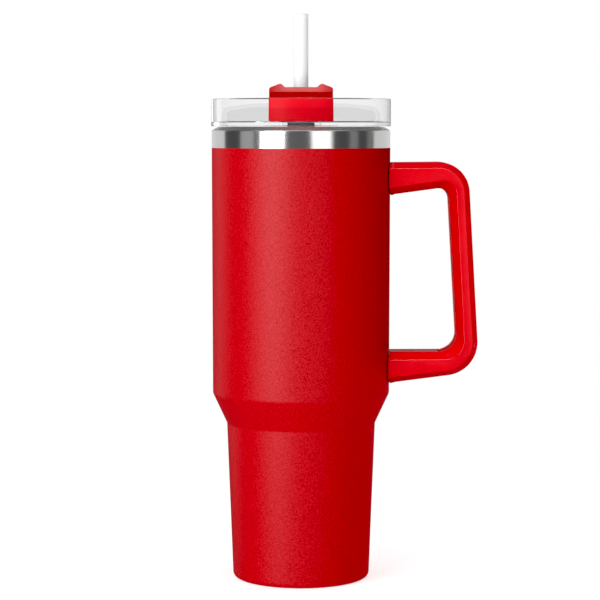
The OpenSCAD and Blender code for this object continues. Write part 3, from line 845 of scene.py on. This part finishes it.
def flag(lamps, pieces, state="INCLUDE"):
    """Keeps lamps' light to some pieces, or off them with EXCLUDE, as flags beside the lamps would."""
    group = bpy.data.collections.new("flag_" + lamps[0].name)
    for piece in pieces:
        group.objects.link(piece)
    for member in group.collection_objects:
        member.light_linking.link_state = state
    for lamp in lamps:
        lamp.light_linking.receiver_collection = group


# Bright panels that the steel band reflects, as (first azimuth, last azimuth, brightness)
PANELS = [
    (-168, -114, 0.7), (-83, -62, 0.36), (-12, 8, 0.05), (64, 77, 0.18), (93, 103, 0.14), (106, 168, 0.7)
]
PANEL_DISTANCE = 1.4
PANEL_Z = 0.15


def panels():
    """The lamps of PANELS, which stand upright round the mug."""
    lamps = []
    for i, (first, last, brightness) in enumerate(PANELS):
        width = 2 * PANEL_DISTANCE * math.tan(math.radians(last - first) / 2)
        azimuth = (first + last) / 2
        lamps.append(softbox(f"panel_{i}", azimuth, PANEL_DISTANCE, PANEL_Z, width, 1.6, brightness, PANEL_Z))
    return lamps


CAMERA_AT = (-0.00056, -1.2, 0.25345)
CAMERA_DOWN = 4.65               # degrees below level
LENS = 129.2


def camera():
    """A long lens that is level with the lid and aimed slightly down."""
    data = bpy.data.cameras.new("camera")
    data.sensor_width = 36
    data.lens = LENS
    data.clip_start, data.clip_end = 0.05, 20
    piece = bpy.data.objects.new("camera", data)
    bpy.context.scene.collection.objects.link(piece)
    piece.location = CAMERA_AT
    piece.rotation_euler = (math.radians(90 - CAMERA_DOWN), 0, 0)
    bpy.context.scene.camera = piece


# ---------------------------------------------------------------- pieces, lamps and materials

def dress(piece, material):
    """Gives a piece or a CAD node one material."""
    piece.data.materials.clear()
    piece.data.materials.append(material)


def place(piece, body, node, material):
    """Puts a built piece on its body, in place of a CAD node."""
    dress(piece, material)
    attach(piece, body)
    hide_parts(node)


camera()
ground = floor()
studio()

# key and fill make the body's two highlights, and band_fill is the fill for the steel
key = softbox("key", -37, 1.6, 0.45, 0.82, 1.5, 6.7)
fill = softbox("fill", 24, 1.7, 0.55, 0.90, 1.4, 0.7)
band_fill = softbox("band_fill", 26, 1.7, 0.55, 0.82, 1.4, 1.7)
# rim, side and left light the body's edges, and low its foot
rim = softbox("rim", -128, 1.5, 0.4, 0.4, 1.4, 1.2)
side = softbox("side", 116, 0.42, 0.05, 0.3, 0.08, 15.0, 0.04)
left = softbox("left", -108, 1.6, 0.3, 0.6, 1.2, 1.6)
low = softbox("low", 10, 0.8, 0.1, 1.0, 0.16, 1.6, 0.03)
# the others each light what their flags say
overhead = softbox("overhead", 0, 0.1, 1.3, 0.9, 0.6, 5.0)
handle_top = softbox("handle_top", 8, 1.2, 1.4, 1.0, 1.0, 9.0)
backdrop = softbox("backdrop", 180, 1.5, 0.35, 1.6, 0.9, 0.12)
cover_low = softbox("cover_low", 0, 0.7, 0.12, 0.6, 0.14, 4.2, 0.26)
front = softbox("front", 18, 2.2, 0.5, 1.6, 1.6, 0.85)
skylight = softbox("skylight", 0, 0.01, 1.9, 2.4, 2.4, 1.2)
for lamp in (side, left, low, cover_low, front):
    lamp.visible_glossy = False

coat = powder_coat()
band_steel = turned_steel("band_steel", (0.69, 0.69, 0.685), 0.2, 0.12, 0.014)
matte_inside(band_steel, radius=46, top=238, metallic=0.35)
base_steel = turned_steel("base_steel", (0.62, 0.62, 0.61), 0.3, 0.2, 0.01)
steel = plain_steel("plain_steel", (0.58, 0.58, 0.57), 0.35)
copper = plain_steel("copper_foil", (0.80, 0.42, 0.28), 0.25)
getter = plain_steel("getter_metal", (0.20, 0.20, 0.21), 0.6)
solder = plain_steel("solder_glass", (0.10, 0.12, 0.12), 0.2)
handle_plastic = moulded_plastic("handle_plastic", (0.37, 0.006, 0.0105), (0.41, 0.008, 0.0125), 0.17, 0.3)
grip_rubber = moulded_plastic("grip_rubber", (0.36, 0.006, 0.011), (0.39, 0.008, 0.013), 0.5, 0.1, 0.4, 0.04)
# The carriage and the grip are moulded of one red plastic. The grip's copy is lighter, which is painted light
# on its upward-facing bevel.
cover_plastic = moulded_plastic("cover_plastic", (0.52, 0.012, 0.02), (0.56, 0.014, 0.022), 0.26, 0.05)
grip_plastic_painted_light = moulded_plastic("grip_plastic_painted_light", (0.62, 0.0, 0.0005), (0.66, 0.0002, 0.001), 0.32, 0.35)
clear = clear_plastic()
soft = silicone()
frosted = frosted_plastic()

place(cup_shell(), "cup", "outer_shell", coat)
liner = cup_liner()
place(liner, "cup", "inner_liner", band_steel)
loop, plug_bores = handle_loop()
cut(loop, plug_bores)
place(loop, "cup", "handle_shell", handle_plastic)
strip = grip_strip()
place(strip, "cup", "handle_insert", grip_rubber)
place(gasket_ring(), "lid", "lid_gasket", soft)
place(grommet_ring(), "lid", "straw_grommet", soft)
carriage = cover_block()
place(carriage, "cover", "cover_carriage", cover_plastic)
grip = cover_top()
place(grip, "cover", "cover_grip", grip_plastic_painted_light)
place(straw_tube(), "straw", "straw", frosted)

CAD_MATERIALS = {
    "foil_shield": copper,
    "getter_pellet": getter,
    "getter_clip": steel,
    "vacuum_base": steel,
    "seal_bead": solder,
    "base_cap": base_steel,
    "upper_bracket": steel,
    "lower_bracket": steel,
    "handle_screws": steel,
    "screw_plugs": handle_plastic,
    "lid_body": clear,
    "cover_seal": soft,
}
for node, material in CAD_MATERIALS.items():
    dress(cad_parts[node], material)
lid_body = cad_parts["lid_body"]
screw_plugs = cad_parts["screw_plugs"]

flag(panels(), [liner])
flag([overhead], [grip, lid_body])
flag([key], [grip, lid_body], "EXCLUDE")
flag([front], [grip], "EXCLUDE")
flag([rim], [liner], "EXCLUDE")
flag([handle_top, backdrop], [loop, strip, screw_plugs])
flag([cover_low], [carriage])
flag([skylight], [ground, liner])
flag([fill], [liner, grip, lid_body], "EXCLUDE")
flag([band_fill], [liner])

# Reflections and bounced light pass the cover by, or the lid, the lip and the straw would turn red
for piece in (carriage, grip):
    piece.visible_glossy = False
    piece.visible_diffuse = False

view = bpy.context.scene.view_settings
view.view_transform = "Standard"
view.use_curve_mapping = True
view.curve_mapping.black_level = (BLACK_LEVEL,) * 3
view.curve_mapping.update()
